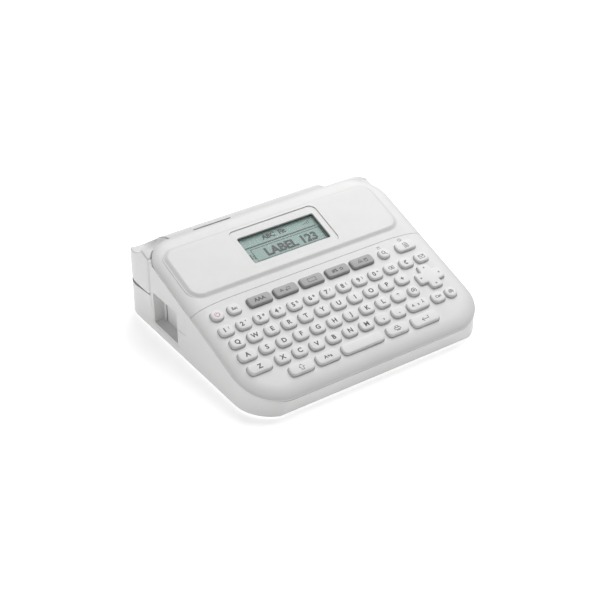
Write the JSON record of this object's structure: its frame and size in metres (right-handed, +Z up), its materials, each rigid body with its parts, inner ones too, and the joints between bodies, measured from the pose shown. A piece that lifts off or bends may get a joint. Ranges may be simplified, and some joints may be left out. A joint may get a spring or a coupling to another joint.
{
  "type": "label maker",
  "caption": "Desktop label maker with a sloping keyboard, a small display, a hinged cassette cover and a cutter lever beside a tape exit.",
  "frame": {"origin": "centre of the footprint, on the surface that the rubber feet rest on", "axes": "+X to the right of the keyboard as its user sees it, +Y to the rear, +Z up"},
  "size_m": [0.19, 0.1781, 0.0608],
  "materials": {
    "case_white": "fine satin texture",
    "panel_white": "fine satin texture",
    "cover_white": "satin",
    "key_white": "smooth satin",
    "key_grey": "smooth satin",
    "bezel_plastic": "smooth satin",
    "lens_clear": "clear",
    "lcd_green": "satin reflective display",
    "mat_rubber": "matte",
    "board_green": "solder resist",
    "gear_plastic": "moulded acetal",
    "frame_steel": "zinc plated",
    "motor_steel": "plated can",
    "roller_rubber": "ground rubber",
    "head_ceramic": "glazed ceramic",
    "cassette_dark": "satin",
    "tape_white": "laminated tape",
    "blade_steel": "ground edge",
    "battery_jacket": "printed film",
    "contact_metal": "nickel plated",
    "foot_rubber": "matte",
    "socket_black": "matte",
    "spring_steel": "drawn wire"
  },
  "bodies": {
    "case": {"lower_case": "case_white", "keyboard_panel": "panel_white", "display_panel": "panel_white", "side_cover": "case_white", "display_bezel": "bezel_plastic", "display_lens": "lens_clear", "lcd_panel": "lcd_green", "keypad_mat": "mat_rubber", "main_board": "board_green", "chassis": "frame_steel", "drive_motor": "motor_steel", "tape_cassette": "cassette_dark", "cover_hinge_pin": "frame_steel", "lever_pin": "frame_steel", "lever_spring": "spring_steel", "battery_contacts": "contact_metal", "batteries": "battery_jacket", "rubber_feet": "foot_rubber", "case_screws": "frame_steel", "usb_socket": "contact_metal", "power_socket": "socket_black"},
    "cover": {"cassette_cover": "cover_white"},
    "lever": {"cutter_lever": "cover_white"},
    "blade": {"cutter_blade": "blade_steel"},
    "battery_lid": {"battery_cover": "case_white"},
    "head": {"head_arm": "frame_steel", "print_head": "head_ceramic"},
    "platen": {"platen_roller": "roller_rubber", "platen_gear": "gear_plastic"},
    "idler": {"idler_gear": "gear_plastic"},
    "pinion": {"motor_pinion": "frame_steel"},
    "spindle": {"ribbon_spindle": "gear_plastic"},
    "spool": {"tape_spool": "tape_white"},
    "pad_rocker": {"pad_pivot": "gear_plastic"},
    "pad": {"direction_pad": "key_white"},
    "power_key_body": {"power_key": "key_white"},
    "escape_key_body": {"escape_key": "key_white"},
    "function_key_1_body": {"function_key_1": "key_grey"},
    "function_key_2_body": {"function_key_2": "key_grey"},
    "function_key_3_body": {"function_key_3": "key_grey"},
    "function_key_4_body": {"function_key_4": "key_grey"},
    "function_key_5_body": {"function_key_5": "key_grey"},
    "search_key_body": {"search_key": "key_white"},
    "document_key_body": {"document_key": "key_white"},
    "backspace_key_body": {"backspace_key": "key_white"},
    "symbol_key_body": {"symbol_key": "key_white"},
    "mode_key_body": {"mode_key": "key_white"},
    "extra_key_body": {"extra_key": "key_white"},
    "accent_key_body": {"accent_key": "key_white"},
    "control_key_body": {"control_key": "key_white"},
    "option_key_body": {"option_key": "key_white"},
    "shift_key_body": {"shift_key": "key_white"},
    "character_key_body": {"character_key": "key_white"},
    "space_key_body": {"space_key": "key_white"},
    "print_key_body": {"print_key": "key_white"},
    "enter_key_body": {"enter_key": "key_white"},
    "digit_keys_body": {"digit_keys": "key_white"},
    "top_letter_keys_body": {"top_letter_keys": "key_white"},
    "home_letter_keys_body": {"home_letter_keys": "key_white"},
    "low_letter_keys_body": {"low_letter_keys": "key_white"}
  },
  "joints": [
    {"name": "cover_hinge", "type": "hinge", "parent": "case", "child": "cover", "pos_m": [0, 0.0864, 0.0242], "axis": [-1, 0, 0], "range_deg": [0, 90]},
    {"name": "lever_press", "type": "hinge", "parent": "case", "child": "lever", "pos_m": [-0.0835, 0.051, 0.034], "axis": [-1, 0, 0], "range_deg": [0, 6], "stiffness_Nm_per_rad": 0.6, "springref_deg": -8.59, "deforming": ["lever_spring"]},
    {"name": "blade_slide", "type": "slide", "parent": "case", "child": "blade", "axis": [0, -1, 0], "range_m": [0, 0.004]},
    {"name": "battery_lid_hinge", "type": "hinge", "parent": "case", "child": "battery_lid", "pos_m": [0, 0.00575, 0.0015], "axis": [1, 0, 0], "range_deg": [0, 80]},
    {"name": "head_swing", "type": "hinge", "parent": "case", "child": "head", "pos_m": [-0.062, 0.06, 0.02], "axis": [0, 0, 1], "range_deg": [0, 10]},
    {"name": "spindle_spin", "type": "hinge", "parent": "case", "child": "spindle", "pos_m": [-0.014, 0.0659, 0.007], "axis": [0, 0, 1], "continuous": true},
    {"name": "pinion_spin", "type": "hinge", "parent": "case", "child": "pinion", "pos_m": [-0.022, 0.0443, 0.007], "axis": [0, 0, 1], "continuous": true},
    {"name": "idler_spin", "type": "hinge", "parent": "case", "child": "idler", "pos_m": [-0.0356, 0.038, 0.007], "axis": [0, 0, 1], "continuous": true},
    {"name": "platen_spin", "type": "hinge", "parent": "case", "child": "platen", "pos_m": [-0.0506, 0.046, 0.007], "axis": [0, 0, 1], "continuous": true},
    {"name": "spool_spin", "type": "hinge", "parent": "case", "child": "spool", "pos_m": [0.018, 0.0705, 0.02], "axis": [0, 0, 1], "continuous": true},
    {"name": "pad_rock_front_rear", "type": "hinge", "parent": "case", "child": "pad_rocker", "pos_m": [0.0745, -0.04503, 0.02771], "axis": [1, 0, 0], "range_deg": [-2.4, 2.4], "stiffness_Nm_per_rad": 0.08},
    {"name": "pad_rock_left_right", "type": "hinge", "parent": "pad_rocker", "child": "pad", "pos_m": [0.0745, -0.04503, 0.02771], "axis": [0, 0.9493, 0.3145], "range_deg": [-2.4, 2.4], "stiffness_Nm_per_rad": 0.08},
    {"name": "power_key_press", "type": "slide", "parent": "case", "child": "power_key_body", "axis": [0, 0.3145, -0.9493], "range_m": [0, 0.001], "stiffness_N_per_m": 600},
    {"name": "escape_key_press", "type": "slide", "parent": "case", "child": "escape_key_body", "axis": [0, 0.3145, -0.9493], "range_m": [0, 0.001], "stiffness_N_per_m": 600},
    {"name": "function_key_1_press", "type": "slide", "parent": "case", "child": "function_key_1_body", "axis": [0, 0.3145, -0.9493], "range_m": [0, 0.001], "stiffness_N_per_m": 600},
    {"name": "function_key_2_press", "type": "slide", "parent": "case", "child": "function_key_2_body", "axis": [0, 0.3145, -0.9493], "range_m": [0, 0.001], "stiffness_N_per_m": 600},
    {"name": "function_key_3_press", "type": "slide", "parent": "case", "child": "function_key_3_body", "axis": [0, 0.3145, -0.9493], "range_m": [0, 0.001], "stiffness_N_per_m": 600},
    {"name": "function_key_4_press", "type": "slide", "parent": "case", "child": "function_key_4_body", "axis": [0, 0.3145, -0.9493], "range_m": [0, 0.001], "stiffness_N_per_m": 600},
    {"name": "function_key_5_press", "type": "slide", "parent": "case", "child": "function_key_5_body", "axis": [0, 0.3145, -0.9493], "range_m": [0, 0.001], "stiffness_N_per_m": 600},
    {"name": "search_key_press", "type": "slide", "parent": "case", "child": "search_key_body", "axis": [0, 0.3145, -0.9493], "range_m": [0, 0.001], "stiffness_N_per_m": 600},
    {"name": "document_key_press", "type": "slide", "parent": "case", "child": "document_key_body", "axis": [0, 0.3145, -0.9493], "range_m": [0, 0.001], "stiffness_N_per_m": 600},
    {"name": "backspace_key_press", "type": "slide", "parent": "case", "child": "backspace_key_body", "axis": [0, 0.3145, -0.9493], "range_m": [0, 0.001], "stiffness_N_per_m": 600},
    {"name": "symbol_key_press", "type": "slide", "parent": "case", "child": "symbol_key_body", "axis": [0, 0.3145, -0.9493], "range_m": [0, 0.001], "stiffness_N_per_m": 600},
    {"name": "mode_key_press", "type": "slide", "parent": "case", "child": "mode_key_body", "axis": [0, 0.3145, -0.9493], "range_m": [0, 0.001], "stiffness_N_per_m": 600},
    {"name": "extra_key_press", "type": "slide", "parent": "case", "child": "extra_key_body", "axis": [0, 0.3145, -0.9493], "range_m": [0, 0.001], "stiffness_N_per_m": 600},
    {"name": "accent_key_press", "type": "slide", "parent": "case", "child": "accent_key_body", "axis": [0, 0.3145, -0.9493], "range_m": [0, 0.001], "stiffness_N_per_m": 600},
    {"name": "control_key_press", "type": "slide", "parent": "case", "child": "control_key_body", "axis": [0, 0.3145, -0.9493], "range_m": [0, 0.001], "stiffness_N_per_m": 600},
    {"name": "option_key_press", "type": "slide", "parent": "case", "child": "option_key_body", "axis": [0, 0.3145, -0.9493], "range_m": [0, 0.001], "stiffness_N_per_m": 600},
    {"name": "shift_key_press", "type": "slide", "parent": "case", "child": "shift_key_body", "axis": [0, 0.3145, -0.9493], "range_m": [0, 0.001], "stiffness_N_per_m": 600},
    {"name": "character_key_press", "type": "slide", "parent": "case", "child": "character_key_body", "axis": [0, 0.3145, -0.9493], "range_m": [0, 0.001], "stiffness_N_per_m": 600},
    {"name": "space_key_press", "type": "slide", "parent": "case", "child": "space_key_body", "axis": [0, 0.3145, -0.9493], "range_m": [0, 0.001], "stiffness_N_per_m": 600},
    {"name": "print_key_press", "type": "slide", "parent": "case", "child": "print_key_body", "axis": [0, 0.3145, -0.9493], "range_m": [0, 0.001], "stiffness_N_per_m": 600},
    {"name": "enter_key_press", "type": "slide", "parent": "case", "child": "enter_key_body", "axis": [0, 0.3145, -0.9493], "range_m": [0, 0.001], "stiffness_N_per_m": 600},
    {"name": "digit_keys_press", "type": "slide", "parent": "case", "child": "digit_keys_body", "axis": [0, 0.3145, -0.9493], "range_m": [0, 0.001], "stiffness_N_per_m": 6000},
    {"name": "top_letter_keys_press", "type": "slide", "parent": "case", "child": "top_letter_keys_body", "axis": [0, 0.3145, -0.9493], "range_m": [0, 0.001], "stiffness_N_per_m": 6600},
    {"name": "home_letter_keys_press", "type": "slide", "parent": "case", "child": "home_letter_keys_body", "axis": [0, 0.3145, -0.9493], "range_m": [0, 0.001], "stiffness_N_per_m": 6000},
    {"name": "low_letter_keys_press", "type": "slide", "parent": "case", "child": "low_letter_keys_body", "axis": [0, 0.3145, -0.9493], "range_m": [0, 0.001], "stiffness_N_per_m": 5400}
  ],
  "couplings": [
    {"joint": "blade_slide", "follows": "lever_press", "m_per_rad": 0.0381},
    {"joint": "head_swing", "follows": "cover_hinge", "ratio": 0.11},
    {"joint": "pinion_spin", "follows": "spindle_spin", "ratio": -3.6},
    {"joint": "idler_spin", "follows": "spindle_spin", "ratio": 1.8},
    {"joint": "platen_spin", "follows": "spindle_spin", "ratio": -2.5714},
    {"joint": "spool_spin", "follows": "spindle_spin", "ratio": -0.98901}
  ]
}
